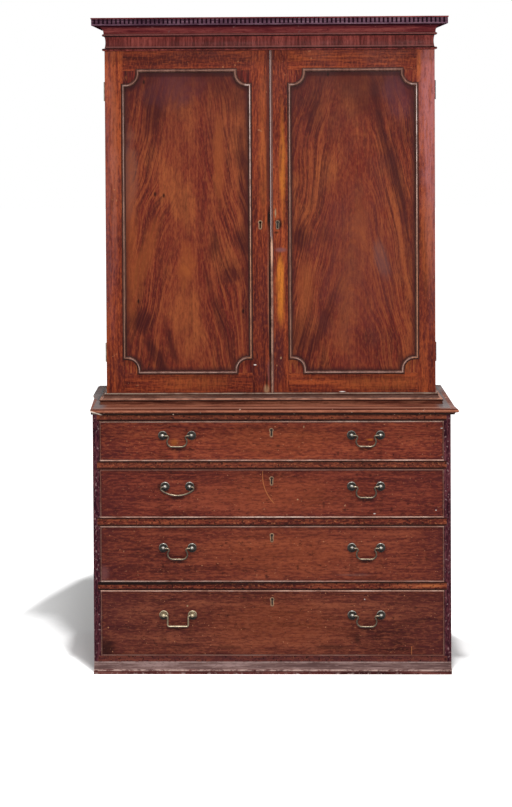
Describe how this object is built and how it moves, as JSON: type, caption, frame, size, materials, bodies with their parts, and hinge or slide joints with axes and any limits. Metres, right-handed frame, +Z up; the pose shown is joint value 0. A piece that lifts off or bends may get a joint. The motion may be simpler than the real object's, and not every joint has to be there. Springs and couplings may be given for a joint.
{
  "type": "linen press",
  "caption": "Mahogany linen press: a panelled two-door cupboard with sliding trays and a dentil cornice on a chest of graduated drawers with bail handles.",
  "frame": {"origin": "on the floor under the middle of the press", "axes": "+Z up, -Y out of the front, +X to the right seen from the front"},
  "size_m": [1.23, 0.585, 2.168],
  "materials": {
    "carcass_mahogany": "old french polish, worn to a grey bloom on the edges",
    "door_mahogany": "figured mahogany, polished",
    "drawer_mahogany": "figured mahogany, polished and scratched",
    "crown_mahogany": "dark polished mahogany",
    "lining_oak": "bare oak",
    "back_pine": "bare aged pine",
    "aged_brass": "aged, dull lacquered brass"
  },
  "bodies": {
    "carcass": {"lower_sides": "carcass_mahogany", "ledge_board": "carcass_mahogany", "waist_moulding": "carcass_mahogany", "plinth_moulding": "carcass_mahogany", "drawer_dividers": "carcass_mahogany", "lower_back_boards": "back_pine", "upper_sides": "carcass_mahogany", "upper_top_board": "carcass_mahogany", "upper_bottom_board": "carcass_mahogany", "upper_back_boards": "back_pine", "base_moulding": "carcass_mahogany", "frieze": "crown_mahogany", "cornice_moulding": "crown_mahogany", "dentil_course": "crown_mahogany", "tray_runners": "lining_oak", "carcass_hinge_leaves": "aged_brass"},
    "left_door": {"left_door_frame": "door_mahogany", "left_door_panel": "door_mahogany", "left_door_moulding": "door_mahogany", "left_door_escutcheon": "aged_brass", "left_door_hinge_leaves": "aged_brass"},
    "right_door": {"right_door_frame": "door_mahogany", "right_door_panel": "door_mahogany", "right_door_moulding": "door_mahogany", "right_door_lock": "aged_brass", "right_door_meeting_bead": "door_mahogany", "right_door_hinge_leaves": "aged_brass"},
    "drawer_1": {"drawer_1_front": "drawer_mahogany", "drawer_1_box": "lining_oak", "drawer_1_cockbead": "drawer_mahogany", "drawer_1_lock": "aged_brass", "drawer_1_handle_posts": "aged_brass"},
    "drawer_1_left_bail": {"drawer_1_left_bail": "aged_brass"},
    "drawer_1_right_bail": {"drawer_1_right_bail": "aged_brass"},
    "drawer_2": {"drawer_2_front": "drawer_mahogany", "drawer_2_box": "lining_oak", "drawer_2_cockbead": "drawer_mahogany", "drawer_2_lock": "aged_brass", "drawer_2_handle_posts": "aged_brass"},
    "drawer_2_left_bail": {"drawer_2_left_bail": "aged_brass"},
    "drawer_2_right_bail": {"drawer_2_right_bail": "aged_brass"},
    "drawer_3": {"drawer_3_front": "drawer_mahogany", "drawer_3_box": "lining_oak", "drawer_3_cockbead": "drawer_mahogany", "drawer_3_lock": "aged_brass", "drawer_3_handle_posts": "aged_brass"},
    "drawer_3_left_bail": {"drawer_3_left_bail": "aged_brass"},
    "drawer_3_right_bail": {"drawer_3_right_bail": "aged_brass"},
    "drawer_4": {"drawer_4_front": "drawer_mahogany", "drawer_4_box": "lining_oak", "drawer_4_cockbead": "drawer_mahogany", "drawer_4_lock": "aged_brass", "drawer_4_handle_posts": "aged_brass"},
    "drawer_4_left_bail": {"drawer_4_left_bail": "aged_brass"},
    "drawer_4_right_bail": {"drawer_4_right_bail": "aged_brass"},
    "tray_1": {"tray_1": "lining_oak"},
    "tray_2": {"tray_2": "lining_oak"},
    "tray_3": {"tray_3": "lining_oak"},
    "tray_4": {"tray_4": "lining_oak"}
  },
  "joints": [
    {"name": "left_door_hinge", "type": "hinge", "parent": "carcass", "child": "left_door", "pos_m": [-0.551, -0.135, 1.486], "axis": [0, 0, -1], "range_deg": [0, 170]},
    {"name": "right_door_hinge", "type": "hinge", "parent": "carcass", "child": "right_door", "pos_m": [0.551, -0.135, 1.486], "axis": [0, 0, 1], "range_deg": [0, 170]},
    {"name": "drawer_1_slide", "type": "slide", "parent": "carcass", "child": "drawer_1", "axis": [0, -1, 0], "range_m": [0, 0.4]},
    {"name": "drawer_1_left_bail_hinge", "type": "hinge", "parent": "drawer_1", "child": "drawer_1_left_bail", "pos_m": [-0.311, -0.2835, 0.788], "axis": [-1, 0, 0], "range_deg": [0, 100]},
    {"name": "drawer_1_right_bail_hinge", "type": "hinge", "parent": "drawer_1", "child": "drawer_1_right_bail", "pos_m": [0.311, -0.2835, 0.788], "axis": [-1, 0, 0], "range_deg": [0, 100]},
    {"name": "drawer_2_slide", "type": "slide", "parent": "carcass", "child": "drawer_2", "axis": [0, -1, 0], "range_m": [0, 0.4]},
    {"name": "drawer_2_left_bail_hinge", "type": "hinge", "parent": "drawer_2", "child": "drawer_2_left_bail", "pos_m": [-0.311, -0.2835, 0.619], "axis": [-1, 0, 0], "range_deg": [0, 100]},
    {"name": "drawer_2_right_bail_hinge", "type": "hinge", "parent": "drawer_2", "child": "drawer_2_right_bail", "pos_m": [0.311, -0.2835, 0.619], "axis": [-1, 0, 0], "range_deg": [0, 100]},
    {"name": "drawer_3_slide", "type": "slide", "parent": "carcass", "child": "drawer_3", "axis": [0, -1, 0], "range_m": [0, 0.4]},
    {"name": "drawer_3_left_bail_hinge", "type": "hinge", "parent": "drawer_3", "child": "drawer_3_left_bail", "pos_m": [-0.311, -0.2835, 0.4155], "axis": [-1, 0, 0], "range_deg": [0, 100]},
    {"name": "drawer_3_right_bail_hinge", "type": "hinge", "parent": "drawer_3", "child": "drawer_3_right_bail", "pos_m": [0.311, -0.2835, 0.4155], "axis": [-1, 0, 0], "range_deg": [0, 100]},
    {"name": "drawer_4_slide", "type": "slide", "parent": "carcass", "child": "drawer_4", "axis": [0, -1, 0], "range_m": [0, 0.4]},
    {"name": "drawer_4_left_bail_hinge", "type": "hinge", "parent": "drawer_4", "child": "drawer_4_left_bail", "pos_m": [-0.311, -0.2835, 0.192], "axis": [-1, 0, 0], "range_deg": [0, 100]},
    {"name": "drawer_4_right_bail_hinge", "type": "hinge", "parent": "drawer_4", "child": "drawer_4_right_bail", "pos_m": [0.311, -0.2835, 0.192], "axis": [-1, 0, 0], "range_deg": [0, 100]},
    {"name": "tray_1_slide", "type": "slide", "parent": "carcass", "child": "tray_1", "axis": [0, -1, 0], "range_m": [0, 0.028]},
    {"name": "tray_2_slide", "type": "slide", "parent": "carcass", "child": "tray_2", "axis": [0, -1, 0], "range_m": [0, 0.028]},
    {"name": "tray_3_slide", "type": "slide", "parent": "carcass", "child": "tray_3", "axis": [0, -1, 0], "range_m": [0, 0.028]},
    {"name": "tray_4_slide", "type": "slide", "parent": "carcass", "child": "tray_4", "axis": [0, -1, 0], "range_m": [0, 0.028]}
  ]
}
